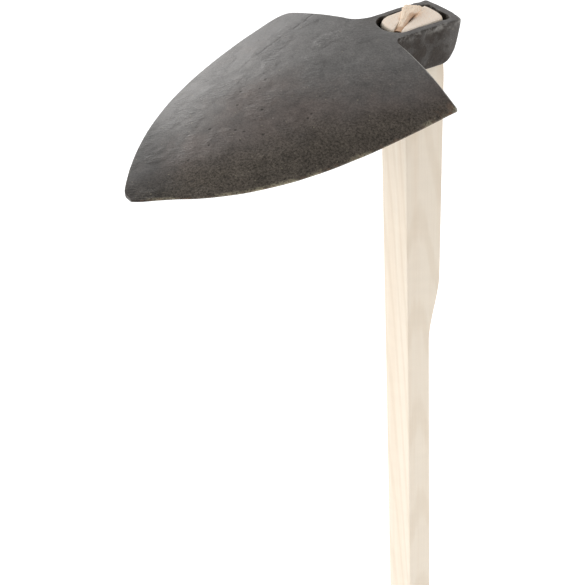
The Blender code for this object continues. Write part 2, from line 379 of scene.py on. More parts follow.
@dataclass(frozen=True)
class ForgedSteel:
    """Steel as the hammer left it: grey scale with warm and cool fields, grit, pits, specks and some rust.

    A noise is its lumps per metre, its octaves and how strong they are. Pits, flecks and chips are their
    number per metre and their size as a share of that spacing. Other pairs are where a mask starts and where
    it is full, unless a note says otherwise.
    """

    eye_place: Vector
    cool: tuple = (0.158, 0.152, 0.146, 1.0)
    warm: tuple = (0.142, 0.120, 0.109, 1.0)
    # Dark of the pits and the point, and painted shade along the crease.
    dark: tuple = (0.046, 0.040, 0.036, 1.0)
    bright: tuple = (0.460, 0.445, 0.415, 1.0)
    tan: tuple = (0.360, 0.325, 0.235, 1.0)
    # Olive tone with painted shade, laid along the near edge's rim.
    olive_and_shade: tuple = (0.096, 0.081, 0.065, 1.0)
    # Dark of the soot on the eye's walls and underside, and painted shade in the hole.
    soot_and_shade_colour: tuple = (0.038, 0.031, 0.026, 1.0)
    rust: tuple = (0.150, 0.082, 0.045, 1.0)
    broad_noise: tuple = (11.0, 2.0, 0.5)
    mottle_noise: tuple = (90.0, 4.0, 0.65)
    grit_noise: tuple = (640.0, 4.0, 0.80)
    fine_noise: tuple = (2400.0, 2.0, 0.7)
    strip_noise: tuple = (38.0, 3.0, 0.6)
    polish_noise: tuple = (150.0, 3.0, 0.6)
    rust_noise: tuple = (260.0, 4.0, 0.7)
    dent_noise: tuple = (120.0, 2.0, 0.5)
    wrinkle_noise: tuple = (34.0, 2.0, 0.5)
    pits: tuple = (95.0, 0.15)
    flecks: tuple = (560.0, 0.21)
    chips: tuple = (150.0, 0.10)
    wobble: float = 0.0014  # how far a speck's outline is pushed about
    wobble_scale: float = 700.0
    near_side: tuple = (0.015, 0.12)
    low_side: tuple = (0.098, 0.136)
    # Painted shade that darkens the blade towards its point.
    tip_shade_span: tuple = (0.196, 0.236)
    point_end: tuple = (0.2455, 0.2500)
    # Painted shade over the far shoulder, where the scale is darkened.
    far_shade_x: tuple = (-0.018, -0.050)
    far_shade_y: tuple = (-0.120, -0.075)
    rust_x: tuple = (0.090, 0.101)
    rust_y: tuple = (-0.066, -0.045)
    rust_gap: tuple = (0.003, 0.0)
    strip_gap: tuple = (0.0042, 0.0008)
    # The crease's dark line is painted shade of the fold.
    crease_x: float = -0.0640
    crease_y: tuple = (-0.040, -0.150)  # its two ends
    crease_lean: float = 0.17
    crease_drift: float = 0.015
    crease_fades: tuple = (0.004, 0.075)  # how far it takes to fade at each end
    crease_half: tuple = (0.0024, 0.0002)
    metallic: float = 0.80
    relief: float = 0.00045
    relief_strength: float = 0.55

    def build(self) -> Material:
        """The material."""
        made, board, shader = new_material(Slot.STEEL)
        on = self._masks(board)
        crease = self._crease(board, on)
        pits = board.specks(*self.pits, self._wobbly(board)) * on.broad.rise(0.44, 0.54)
        polished = self._polished(board, on)
        rust = self._rusted(board, on)
        colour = self._marks(board, on, self._scale(board, on), (0.80 * crease).highest(0.80 * pits))
        colour = board.mix(0.80 * polished, colour, self.bright)
        colour = board.mix(0.75 * rust, colour, self.rust)
        rough = 0.42 + 0.12 * (on.mottle - 0.5) + 0.22 * (on.grit - 0.5) + 0.25 * rust - 0.08 * polished
        height = self._hammered(board, on) - 0.8 * crease - 0.35 * pits
        board.plug(shader.inputs["Base Color"], colour)
        board.plug(shader.inputs["Metallic"], self.metallic - 0.6 * rust - 0.25 * crease - 0.10 * on.soot_and_shade)
        board.plug(shader.inputs["Roughness"], rough + 0.04 * on.soot_and_shade)
        board.plug(shader.inputs["Normal"], board.bump(height, self.relief, self.relief_strength))
        return made

    def _masks(self, board: Board) -> SteelMasks:
        """Adds the shared masks.

        Args:
            board: the material's nodes.

        Returns:
            The masks.
        """
        x, y, _ = board.axes()
        y = y - self.eye_place.y
        broad = board.noise(*self.broad_noise)
        return SteelMasks(
            x=x,
            y=y,
            edge_gap=board.attribute("edge_gap"),
            wear=board.attribute("wear"),
            soot_and_shade=board.attribute("soot_and_shade"),
            broad=broad,
            mottle=board.noise(*self.mottle_noise),
            grit=board.noise(*self.grit_noise),
            fine=board.noise(*self.fine_noise),
            near=(x + y * -0.35).rise(*self.near_side),
            low=(x + y * -0.50 + 0.05 * (broad - 0.5)).rise(*self.low_side),
        )

    def _scale(self, board: Board, on: SteelMasks) -> NodeSocket:
        """The scale's colour: warm and cool fields, an olive tone with painted shade by the near rim, soot
        with painted shade in the hole, painted shade at the tip and over the far shoulder, mottling and grit.

        Args:
            board: the material's nodes.
            on: the shared masks.

        Returns:
            The colour.
        """
        # Painted shade: the blade is darkened towards its tip and over the far shoulder.
        tip = (on.y * -1.0 + on.x * -0.5).rise(*self.tip_shade_span)
        far_shoulder_shade = on.x.rise(*self.far_shade_x) * on.y.rise(*self.far_shade_y)
        warmth = (on.broad + 0.35 * on.mottle + 0.30 * on.near).rise(0.55, 1.05)
        colour = board.mix(warmth, self.cool, self.warm)
        # Olive tone with painted shade along the near rim.
        colour = board.mix(0.9 * on.low, colour, self.olive_and_shade)
        # Soot on the eye's walls and underside, and painted shade in the hole.
        colour = board.mix(on.soot_and_shade * (0.70 + 0.45 * on.mottle.rise(0.36, 0.62)), colour, self.soot_and_shade_colour)
        mottled = 0.86 + 0.28 * on.mottle.rise(0.30, 0.72)
        colour = board.shade(colour, mottled * (1.0 - 0.50 * tip) * (1.0 - 0.22 * far_shoulder_shade))
        return board.shade(colour, 1.0 + (0.24 + 0.42 * on.low) * (2.0 * on.grit.rise(0.30, 0.70) - 1.0))

    def _marks(self, board: Board, on: SteelMasks, colour: NodeSocket, crease_shade_and_pits: Value) -> NodeSocket:
        """Adds the crease's painted shade, dark pits and a dark point, then pale flecks, chips and a strip
        along the near edge.

        Args:
            board: the material's nodes.
            on: the shared masks.
            colour: the colour under the marks.
            crease_shade_and_pits: the mask of the crease's painted shade and of the pits.

        Returns:
            The marked colour.
        """
        point = (on.y * -1.0 + on.x * -0.25).rise(*self.point_end) * on.grit.rise(0.30, 0.50)
        # Painted shade along the crease; the pits and the point are dark.
        colour = board.mix(crease_shade_and_pits.highest(0.6 * point), colour, self.dark)
        flecks = board.specks(*self.flecks, self._wobbly(board)) * on.fine.rise(0.40, 0.58)
        chips = board.specks(*self.chips, self._wobbly(board)) * on.fine.rise(0.36, 0.50)
        chips = chips * (1.0 - 0.7 * on.soot_and_shade)
        strip = on.edge_gap.rise(*self.strip_gap) * board.noise(*self.strip_noise).rise(0.42, 0.56) * on.near
        for pale in (flecks * (0.04 + 0.62 * on.low), 0.60 * chips, strip * on.grit.rise(0.38, 0.52) * 0.80):
            colour = board.mix(pale, colour, self.tan)
        return colour

    def _polished(self, board: Board, on: SteelMasks) -> Value:
        """The mask of metal rubbed bright."""
        patchy = board.noise(*self.polish_noise).rise(0.44, 0.64).highest(on.wear.rise(0.82, 1.0))
        return (on.wear**2.0) * on.grit.rise(0.24, 0.50) * patchy

    def _rusted(self, board: Board, on: SteelMasks) -> Value:
        """The mask of rust, by the near shoulder and along the near edge.

        Args:
            board: the material's nodes.
            on: the shared masks.

        Returns:
            The mask.
        """
        corner = on.x.rise(*self.rust_x) * on.y.rise(*self.rust_y)
        place = corner.highest(0.5 * on.edge_gap.rise(*self.rust_gap) * on.near)
        return place * board.noise(*self.rust_noise).rise(0.46, 0.62)

    def _hammered(self, board: Board, on: SteelMasks) -> Value:
        """The height of the small dents, wrinkles and grit.

        Args:
            board: the material's nodes.
            on: the shared masks.

        Returns:
            The height, for the bump.
        """
        dents = board.noise(*self.dent_noise) * (0.8 + 1.6 * on.soot_and_shade)
        wrinkled = board.noise(*self.wrinkle_noise).rise(0.48, 0.62)
        wrinkles = board.noise(1.0, 3.0, 0.6, board.stretched((420.0, 130.0, 200.0), (0.0, 0.0, 0.9)), 0.8)
        return dents + 2.6 * wrinkled * wrinkles + 0.30 * on.grit + 0.12 * on.fine

    def _wobbly(self, board: Board) -> NodeSocket:
        """Object coordinates pushed about by noise, so that specks aren't round.

        Args:
            board: the material's nodes.

        Returns:
            The coordinates.
        """
        sockets = {"Vector": board.place(), "Scale": self.wobble_scale}
        drift = board.node("ShaderNodeTexNoise", None, sockets).outputs["Color"]
        pushed = {0: drift, 1: (self.wobble, self.wobble, self.wobble), 2: board.place()}
        return board.node("ShaderNodeVectorMath", {"operation": "MULTIPLY_ADD"}, pushed).outputs[0]

    def _crease(self, board: Board, on: SteelMasks) -> Value:
        """The cold fold that runs down the blade from one shoulder, whose dark line is painted shade.

        Args:
            board: the material's nodes.
            on: the shared masks.

        Returns:
            Its mask.
        """
        start, end = self.crease_y
        drift = self.crease_drift * (board.noise(45.0, 3.0, 0.6) - 0.5)
        off = abs(on.x - self.crease_x + self.crease_lean * (on.y - start) + drift)
        along = on.y.rise(end, end + self.crease_fades[1]) * on.y.rise(start + self.crease_fades[0], start)
        return off.rise(*self.crease_half) * along * board.noise(110.0, 2.0).rise(0.38, 0.56)


@dataclass(frozen=True)
class Birch:
    """Planed birch: pale, with a fine straight grain, a faint ripple and a few small flecks, and painted
    shade that darkens it towards the head.
    """

    light: tuple = (0.818, 0.727, 0.605, 1.0)
    deep: tuple = (0.785, 0.676, 0.545, 1.0)
    line: tuple = (0.640, 0.520, 0.385, 1.0)
    top_shade_heights: tuple = (0.78, 1.15)  # heights between which painted shade darkens the wood towards the head
    fleck: tuple = (0.330, 0.200, 0.110, 1.0)
    relief: float = 0.00012

    def build(self) -> Material:
        """The material."""
        made, board, shader = new_material(Slot.BIRCH)
        streaks = board.noise(1.0, 4.0, 0.6, board.stretched((95.0, 95.0, 2.2)), 0.3)
        fibres = board.noise(1.0, 3.0, 0.7, board.stretched((900.0, 900.0, 14.0)))
        rings = self._rings(board)
        ripple_mask = board.noise(1.0, 2.0, 0.5, board.stretched((40.0, 40.0, 120.0), (0.35, 0.2, 0.0)))
        colour = board.mix(streaks.rise(0.36, 0.66), self.light, self.deep)
        colour = board.mix(0.22 * rings, colour, self.line)
        colour = board.mix(0.10 * fibres.rise(0.52, 0.68), colour, self.line)
        # Painted shade: the wood is darkened towards the head.
        painted_top_shade = board.axes()[2].rise(*self.top_shade_heights)
        colour = board.shade(colour, 0.965 + 0.07 * ripple_mask - 0.07 * painted_top_shade)
        flecks = board.specks(42.0, 0.035, board.stretched((1.0, 1.0, 0.35)))
        colour = board.mix(0.7 * flecks, colour, self.fleck)
        height = 0.6 * fibres + 0.5 * streaks + 0.15 * rings - 0.4 * flecks
        board.plug(shader.inputs["Base Color"], colour)
        board.plug(shader.inputs["Roughness"], 0.50 + 0.16 * fibres + 0.06 * rings)
        board.plug(shader.inputs["Normal"], board.bump(height, self.relief, 0.5))
        return made

    def _rings(self, board: Board) -> Value:
        """Growth rings cut lengthways, which open into long arches.

        Args:
            board: the material's nodes.

        Returns:
            The rings' mask.
        """
        sockets = {
            "Vector": board.stretched((1.0, 1.0, 0.045), (0.0, 0.03, 0.6)),
            "Scale": 60.0,
            "Distortion": 3.0,
            "Detail": 3.0,
            "Detail Scale": 1.2,
        }
        settings = {"wave_type": "RINGS", "rings_direction": "SPHERICAL"}
        return Value(board, board.node("ShaderNodeTexWave", settings, sockets).outputs[1]).rise(0.55, 1.0)


@dataclass(frozen=True)
class EndGrain:
    """Sawn end grain: pores and growth rings, with saw marks, a brown stain by the wedge, and painted shade
    in the torn splits and in the crack beside the wedge.
    """

    slot: Slot = Slot.BIRCH
    light: tuple = (0.985, 0.870, 0.750, 1.0)
    deep: tuple = (0.930, 0.740, 0.580, 1.0)
    stain: tuple = (0.450, 0.215, 0.088, 1.0)
    # Painted shade, in the torn splits and in the crack beside the wedge.
    dark: tuple = (0.060, 0.030, 0.016, 1.0)
    stain_share: float = 0.55
    rings_scale: float = 420.0
    relief: float = 0.00035

    def build(self) -> Material:
        """The material."""
        made, board, shader = new_material(self.slot, f"{self.slot.value}_end")
        pores = board.noise(1700.0, 2.0, 0.6)
        torn = board.noise(1.0, 4.0, 0.7, board.stretched((520.0, 180.0, 260.0), (0.0, 0.0, -0.56)))
        sockets = {"Vector": board.place(), "Scale": self.rings_scale, "Distortion": 2.5, "Detail": 2.0}
        wave = board.node("ShaderNodeTexWave", {"bands_direction": "DIAGONAL"}, sockets)
        rings = Value(board, wave.outputs[1])
        blotch = board.noise(150.0, 3.0, 0.6)
        colour = board.mix((0.3 * rings + 0.9 * torn).rise(0.45, 0.90), self.light, self.deep)
        # The stain; above 1 it marks painted shade in the crack beside the wedge.
        stain = board.attribute("stain")
        stained = (stain * (0.45 + 1.1 * blotch)).rise(0.18, 0.75)
        colour = board.mix(self.stain_share * stained, colour, self.stain)
        # Painted shade in the torn splits, and in the crack where the stain passes 1.
        split = torn.rise(0.36, 0.27)
        colour = board.mix((0.55 * split).highest(0.8 * stain.rise(1.05, 1.35)), colour, self.dark)
        height = 0.6 * torn + 0.25 * pores + 0.05 * rings - 0.6 * split
        board.plug(shader.inputs["Base Color"], board.shade(colour, 0.88 + 0.28 * pores))
        board.plug(shader.inputs["Roughness"], 0.66 + 0.2 * pores)
        board.plug(shader.inputs["Normal"], board.bump(height, self.relief, 0.8))
        return made


def finished_object(name: str, bm: BMesh, materials: list[Material], node: str) -> Object:
    """Turns a bmesh into a piece that stands for a CAD node.

    Args:
        name: the object's name.
        bm: the shape, in place.
        materials: its materials, in the order of its faces' material numbers.
        node: the CAD node it replaces.

    Returns:
        The object, riding on the one body.
    """
    mesh = bpy.data.meshes.new(name)
    bm.to_mesh(mesh)
    bm.free()
    mesh.shade_smooth()
    piece = bpy.data.objects.new(name, mesh)
    bpy.context.scene.collection.objects.link(piece)
    for material in materials:
        mesh.materials.append(material)
    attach(piece, BODY)
    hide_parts(node)
    log.info("%s: %d faces", name, len(mesh.polygons))
    return piece


@dataclass(frozen=True)
class Shoulder:
    """One side of the neck and blade. Lengths are in the head's frame."""

    side: float
    hollow: float  # radius between the eye and the shoulder
    root_y: float
    corner_y: float
    corner_round: float
    bow: float  # how far the shoulder's line is bowed towards the blade
    tip: tuple  # how far out and along the edge stands at the point
    tip_start: float  # where along the blade's edge that begins


@dataclass
class HoeHead:
    """The forged head: a broad arched blade and a square eye, as one closed mesh."""

    place: Matrix
    finish: Material
    eye_half_width: float = 0.0211
    eye_back: float = 0.0311
    back_crown: float = 0.0022
    eye_height: float = 0.0338
    rim_rise: float = math.tan(math.radians(3.2))
    plan_corner: float = 0.0020
    rim_end: float = 0.0245  # where the back rim's rows end at the sides
    eye_end: float = -0.0215
    lower_back_round: float = 0.0120
    lower_back_reach: float = 1.6
    lower_back_lean: float = 0.41
    hole_half_width: float = 0.0150
    hole_front: tuple = (-0.0277, -0.0192)  # at the rim, and at the foot
    hole_back: tuple = (0.0260, 0.0220)
    hole_bow: tuple = (0.0112, 0.0012)
    hole_corner: float = 0.0040
    hole_share: float = 0.75  # of the head's columns
    shoulder_y: float = -0.0380
    shoulder_half: float = 0.1016
    blade_length: float = 0.2164
    blade_end_t: float = 0.978
    edge_fall: tuple = (0.0200, 0.0383, 0.0164, -0.0147)
    edge_narrowing: dict = field(default_factory=lambda: {1: 0.126, 2: 0.352, 4: 0.522})
    crown_radius: float = 0.2350
    neck_round: float = 0.0050
    neck_wall: tuple = (-0.0276, -0.0420)
    neck_wall_fade: float = 0.0130
    thick_neck: float = 0.0075
    thick_mid: float = 0.0034
    thick_shoulder: float = 0.0024
    thick_edge: float = 0.0014
    thinning_start: float = -0.0296
    thinning_length: float = 0.0550
    middle_stops: tuple = (-0.0435, -0.0720, -0.0810)  # Y of the middle line at the ends of three bands
    rim_round: float = 0.0014
    hole_round: float = 0.0007
    ridge_round: float = 0.0013
    edge_round: float = 0.0003
    foot_round: float = 0.0007
    columns: int = 80
    levels: int = 8
    round_levels: int = 2
    relax_rows: int = 52
    relax_times: int = 80
    dent: float = 0.00034
    wall_dent: float = 0.00110
    # Painted shade in the eye's hole, given as more than a plain wall's soot.
    hole_shade: float = 1.7
    back_soot: float = 0.46
    rim_wear: float = 0.66
    far_wear: float = 0.60
    plate_lumps: tuple = (0.026, 0.013)  # sizes of the hammer's broad and fine marks
    wall_lumps: tuple = (0.013, 0.006)
    flute_size: float = 0.006
    flute_stretch: float = 0.3
    flute_start: tuple = (0.004, 0.018)  # Y between which the eye's back wall grows fluted
    plate_start: int = 20  # rows into the eye at which the plate's marks begin
    nick: float = 0.0006
    nick_size: float = 0.0045
    nick_start: tuple = (0.45, 0.80)
    plain_gap: float = 0.02  # the edge gap kept where there is no cutting edge
    tip_bulge: float = 0.0026
    near: Shoulder = Shoulder(1.0, 0.0045, -0.0315, -0.0374, 0.0026, 0.0002, (0.0016, -0.0038), 0.88)
    far: Shoulder = Shoulder(-1.0, 0.0120, -0.0355, -0.0452, 0.0080, 0.0020, (0.0012, 0.0004), 0.60)

    def __post_init__(self) -> None:
        """Works out where each band of rows starts."""
        self.starts: dict[Band, int] = {}
        self.rows = 0
        for band in Band:
            self.starts[band] = self.rows
            self.rows += band.value

    # The plan.

    def band_at(self, row: float) -> tuple[Band, float]:
        """The band that a row is in, and how far through it the row is.

        Args:
            row: the row, counted from the eye's back.

        Returns:
            The band, and a share from 0 to 1.
        """
        for band in Band:
            share = (row - self.starts[band]) / band.value
            if share <= 1.0:
                return band, max(0.0, share)
        return Band.BLADE, 1.0

    def edge_point(self, t: float) -> Vector:
        """The cutting edge's half width and Y, at t from 0 at the shoulders to 1 at the point."""
        lost = sum(share * t**power for power, share in self.edge_narrowing.items())
        return Vector((self.shoulder_half * (1.0 - lost), self.shoulder_y - self.blade_length * t))

    def side_point(self, shoulder: Shoulder, row: float) -> Vector:
        """The outline of one side at a row, as a distance from the middle and a Y.

        Args:
            shoulder: the side.
            row: the row.

        Returns:
            The point, with its X never negative.
        """
        band, share = self.band_at(row)
        if band is Band.RIM:
            return Vector((self.eye_half_width, blend(self.eye_back, self.rim_end, share)))
        if band is Band.EYE:
            return Vector((self.eye_half_width, blend(self.rim_end, self.eye_end, share)))
        if band is Band.NECK:
            return self._neck_point(shoulder, share)
        start_t = (self.shoulder_y - shoulder.corner_y) / self.blade_length
        edge_t = start_t + shoulder.corner_round / self.blade_length
        root = Vector((self.eye_half_width + shoulder.hollow, shoulder.root_y))
        corner = self.edge_point(start_t)
        before = corner + (root - corner).normalized() * shoulder.corner_round
        if band is Band.SHOULDER:
            return root.lerp(before, share) - Vector((0.0, shoulder.bow * math.sin(math.pi * share)))
        after = self.edge_point(edge_t)
        if band is Band.CORNER:
            return before.lerp(corner, share).lerp(corner.lerp(after, share), share)
        point = self.edge_point(blend(edge_t, self.blade_end_t, share))
        worn = max(0.0, ripple(Vector((shoulder.side, point.y, 0.0)), self.nick_size, Seed.NICK))
        nicks = worn * smooth_step(share, *self.nick_start)
        flare = Vector(shoulder.tip) * smooth_step(share, shoulder.tip_start, 1.0) ** 2
        return point - Vector((self.nick * nicks, 0.0)) + flare

    def _neck_point(self, shoulder: Shoulder, share: float) -> Vector:
        """The outline where the eye's side runs into the hollow.

        Args:
            shoulder: the side.
            share: how far through the neck's rows it is.

        Returns:
            The point.
        """
        hollow_start = shoulder.root_y + shoulder.hollow
        straight = self.eye_end - hollow_start
        run = share * (straight + 0.5 * math.pi * shoulder.hollow)
        if run < straight:
            return Vector((self.eye_half_width, self.eye_end - run))
        turn = (run - straight) / shoulder.hollow
        out = shoulder.hollow * (1.0 - math.cos(turn))
        return Vector((self.eye_half_width + out, hollow_start - shoulder.hollow * math.sin(turn)))

    def side_normal(self, shoulder: Shoulder, row: float) -> Vector:
        """The outline's outward normal, on the positive side of the middle.

        Args:
            shoulder: the side.
            row: the row.

        Returns:
            A vector of length 1.
        """
        before = self.side_point(shoulder, max(0.0, row - 0.4))
        after = self.side_point(shoulder, min(float(self.rows), row + 0.4))
        along = (after - before).normalized()
        return Vector((-along.y, along.x))

    def middle_y(self, row: float, face: Face) -> float:
        """The Y of a row's middle.

        Args:
            row: the row.
            face: the sheet.

        Returns:
            The Y.
        """
        band, share = self.band_at(row)
        stops = [self.eye_back, self.hole_back[face.value], self.hole_front[face.value], *self.middle_stops]
        stops.append(self.shoulder_y - self.blade_length * self.blade_end_t - self.tip_bulge)
        number = list(Band).index(band)
        return blend(stops[number], stops[number + 1], share)

    def sheet_point(self, across: float, row: float, face: Face) -> Vector:
        """The plan of a point of a sheet, before it is relaxed.

        Args:
            across: the place across, from -1 to 1.
            row: the row.
            face: the sheet.

        Returns:
            The point in plan.
        """
        side = self.side_point(self._shoulder(across), row)
        middle = self.middle_y(row, face)
        return Vector((math.copysign(side.x * abs(across), across), blend(middle, side.y, across**2)))

    def rim_point(self, across: float, row: float, face: Face) -> tuple[Vector, Vector]:
        """A point of the outer boundary in plan, and its outward normal.

        Args:
            across: the place across, from -1 to 1.
            row: the row.
            face: the sheet.

        Returns:
            The point, and the normal of length 1.
        """
        shoulder = self._shoulder(across)
        point = self.sheet_point(across, row, face)
        if row in (0.0, float(self.rows)):
            normal = Vector((0.0, 1.0 if row == 0.0 else -1.0))
        else:
            normal = self.side_normal(shoulder, row)
            normal.x *= shoulder.side
        x, y, out = round_corner(point.x, point.y, self.eye_half_width, self.eye_back, self.plan_corner)
        if row == 0.0 and face is Face.TOP:
            y += self.back_crown * (1.0 - across**2)
        if row == float(self.rows) and abs(across) == 1.0:
            normal = (normal + Vector((shoulder.side, 0.0))).normalized()
        return Vector((x, y)), out if out.length else normal

    def hole_point(self, across: float, row: float, face: Face) -> tuple[Vector, Vector]:
        """A point of the hole's boundary in plan, and the normal that points into the hole.

        Args:
            across: the place across, from -1 to 1.
            row: the row.
            face: the sheet.

        Returns:
            The point, and the normal of length 1.
        """
        start = self.starts[Band.EYE]
        u = across / self.hole_share
        v = 1.0 - 2.0 * (row - start) / Band.EYE.value
        front, back = self.hole_front[face.value], self.hole_back[face.value]
        bow = self.hole_bow[face.value]
        turn = 0.5 * math.pi * u
        if v <= -1.0:
            x = self.hole_half_width * math.sin(turn)
            normal = Vector((-math.sin(turn) / self.hole_half_width, math.cos(turn) / self.hole_bow[0]))
            return Vector((x, front + bow * (1.0 - math.cos(turn)))), normal.normalized()
        x = u * self.hole_half_width
        y = blend(front + bow, back, 0.5 * (v + 1.0))
        normal = Vector((0.0, -1.0)) if v >= 1.0 else Vector((-math.copysign(1.0, u), 0.0))
        x, y, out = round_corner(x, y, self.hole_half_width, back, self.hole_corner)
        return Vector((x, y)), -out if out.length else normal

    def _shoulder(self, across: float) -> Shoulder:
        """The shoulder on that side."""
        return self.near if across >= 0.0 else self.far

    # The heights.

    def blade_height(self, x: float, y: float) -> float:
        """The blade's top, arched across its width and falling towards the point.

        Args:
            x: the place across the head.
            y: the place along it.

        Returns:
            The height of its top.
        """
        t = (self.shoulder_y - y) / self.blade_length
        half = self.edge_point(max(0.0, t)).x
        middle = half**2 / (2.0 * self.crown_radius) - x**2 / (2.0 * self.crown_radius)
        if t >= 0.0:
            return middle - sum(share * t**power for power, share in enumerate(self.edge_fall))
        slope = self.edge_fall[1] + self.edge_narrowing[1] * self.shoulder_half**2 / self.crown_radius
        return middle - self.edge_fall[0] - slope * t

    def top_point(self, x: float, y: float) -> Vector:
        """A point of the top above its plan."""
        return Vector((x, y, soft_min(-y * self.rim_rise, self.blade_height(x, y), self.neck_round)))

    def foot_point(self, x: float, y: float, across: float, row: float) -> Vector:
        """A point of the underside below its plan. The eye's back leans in and turns under at its foot.

        Args:
            x: the place across the head.
            y: the place along it.
            across: that place across, from -1 to 1.
            row: its row.

        Returns:
            The point, which has moved in Y under the eye's back.
        """
        thinning = smooth_step(self.thinning_start - y, 0.0, self.thinning_length)
        middle = blend(self.thick_neck, self.thick_mid, thinning)
        past_corner = smooth_step(row, self.starts[Band.CORNER], self.starts[Band.BLADE] + 4)
        rim = blend(self.thick_shoulder, self.thick_edge, past_corner)
        under = self.top_point(x, y).z - blend(middle, rim, abs(across) ** 3)
        foot = -y * self.rim_rise - self.eye_height
        inside = smooth_step(y, self.neck_wall[1], self.neck_wall[0])
        inside *= 1.0 - smooth_step(abs(x), self.eye_half_width, self.eye_half_width + self.neck_wall_fade)
        turn_start = self.eye_back - self.lower_back_reach * self.lower_back_round
        if y > turn_start:
            turn = 0.5 * math.pi * (y - turn_start) / (self.eye_back - turn_start)
            y = turn_start + self.lower_back_round * (self.lower_back_lean * turn + 0.5 * math.sin(turn))
            foot += self.lower_back_round * (1.0 - math.cos(turn))
        return Vector((x, y, blend(under, foot, inside)))

    def top_round(self, row: float, in_hole: bool) -> float:
        """The radius of the top edge at a row of the boundary.

        Args:
            row: the row.
            in_hole: whether it is on the hole's boundary.

        Returns:
            The radius.
        """
        if in_hole:
            return self.hole_round
        band, share = self.band_at(row)
        ends = {
            Band.NECK: (self.rim_round, self.ridge_round),
            Band.SHOULDER: (self.ridge_round, self.ridge_round),
            Band.CORNER: (self.ridge_round, self.edge_round),
            Band.BLADE: (self.edge_round, self.edge_round),
        }
        return blend(*ends.get(band, (self.rim_round, self.rim_round)), share)

    def foot_round_at(self, row: float) -> float:
        """The radius of the lower edge at a row of the boundary.

        Args:
            row: the row.

        Returns:
            The radius.
        """
        band, share = self.band_at(row)
        if band in (Band.RIM, Band.EYE):
            return self.foot_round
        return blend(self.foot_round, self.edge_round, share if band is Band.NECK else 1.0)

    # The mesh.

    def build(self) -> Object:
        """Makes the head."""
        bm = bmesh.new()
        for name in ("across", "row", "level", "edge_gap", "wear", "soot_and_shade"):
            bm.verts.layers.float.new(name)
        self._lay_sheets(bm)
        self._relax_plan(bm)
        self._shape(bm)
        bmesh.ops.recalc_face_normals(bm, faces=bm.faces)
        self._hammer(bm)
        bmesh.ops.transform(bm, matrix=self.place, verts=bm.verts)
        head = finished_object("forged_head", bm, [self.finish], "hoe_head")
        smooth = head.modifiers.new("smooth", "SUBSURF")
        smooth.levels = 1
        smooth.render_levels = 1
        return head

    def _lay_sheets(self, bm: BMesh) -> None:
        """Makes two flat sheets with the eye's hole, joined by walls.

        Args:
            bm: the empty mesh. Each of its vertices keeps its place across, its row and its level.
        """
        bmesh.ops.create_grid(bm, x_segments=self.columns, y_segments=self.rows, size=1.0)
        first = self.starts[Band.EYE]
        last = first + Band.EYE.value
        inside = []
        for face in bm.faces:
            middle = face.calc_center_median()
            if abs(middle.x) < self.hole_share and first < self._row(middle.y) < last:
                inside.append(face)
        bmesh.ops.delete(bm, geom=inside, context="FACES")
        lifted = bmesh.ops.extrude_face_region(bm, geom=list(bm.faces))
        raised = [item for item in lifted["geom"] if isinstance(item, BMVert)]
        bmesh.ops.translate(bm, vec=(0.0, 0.0, 1.0), verts=raised)
        upright = [edge for edge in bm.edges if abs(edge.verts[0].co.z - edge.verts[1].co.z) > 0.5]
        bmesh.ops.subdivide_edges(bm, edges=upright, cuts=self.levels - 1, use_grid_fill=True)
        layers = bm.verts.layers.float
        for vert in bm.verts:
            vert[layers["across"]] = vert.co.x
            vert[layers["row"]] = round(self._row(vert.co.y))
            vert[layers["level"]] = round(self.levels * (1.0 - vert.co.z))

    def _row(self, y: float) -> float:
        """The row at a Y of the unshaped sheet."""
        return 0.5 * (1.0 + y) * self.rows

    def _keys(self, bm: BMesh, vert: BMVert) -> tuple[float, float, float]:
        """A vertex's place across, its row and its level.

        Args:
            bm: the mesh.
            vert: its vertex.

        Returns:
            The three, each set back to its exact step.
        """
        layers = bm.verts.layers.float
        across = round(vert[layers["across"]] * self.columns / 2) * 2 / self.columns
        return across, float(round(vert[layers["row"]])), float(round(vert[layers["level"]]))

    def _boundary(self, across: float, row: float) -> str:
        """Which boundary a place is on: rim, hole or none.

        Args:
            across: the place across, from -1 to 1.
            row: the row.

        Returns:
            The boundary's name.
        """
        first = self.starts[Band.EYE]
        if abs(across) > 0.999 or row in (0.0, float(self.rows)):
            return "rim"
        if abs(across) < self.hole_share + 0.001 and first <= row <= first + Band.EYE.value:
            return "hole"
        return "none"

    def _edge_places(self, across: float, row: float, face: Face) -> tuple[Vector, Vector, float]:
        """The plan, outward normal and edge radius of a place on a boundary.

        Args:
            across: the place across, from -1 to 1.
            row: the row.
            face: the sheet.

        Returns:
            The three of them.
        """
        in_hole = self._boundary(across, row) == "hole"
        point, out = (self.hole_point if in_hole else self.rim_point)(across, row, face)
        radius = self.top_round(row, in_hole) if face is Face.TOP else self.foot_round_at(row)
        return point, out, radius

    def _relax_plan(self, bm: BMesh) -> None:
        """Lays the sheets out in plan, then evens out the rows around the eye.

        Args:
            bm: the mesh of two sheets.
        """
        free = []
        for vert in bm.verts:
            across, row, level = self._keys(bm, vert)
            face = Face.TOP if level < 0.5 * self.levels else Face.FOOT
            if self._boundary(across, row) != "none":
                point, out, radius = self._edge_places(across, row, face)
                point = point - out * radius
            else:
                point = self.sheet_point(across, row, face)
                if row < self.relax_rows:
                    free.append(vert)
            vert.co = (*point, vert.co.z)
        for _ in range(self.relax_times):
            bmesh.ops.smooth_vert(bm, verts=free, factor=0.5, use_axis_x=True, use_axis_y=True)

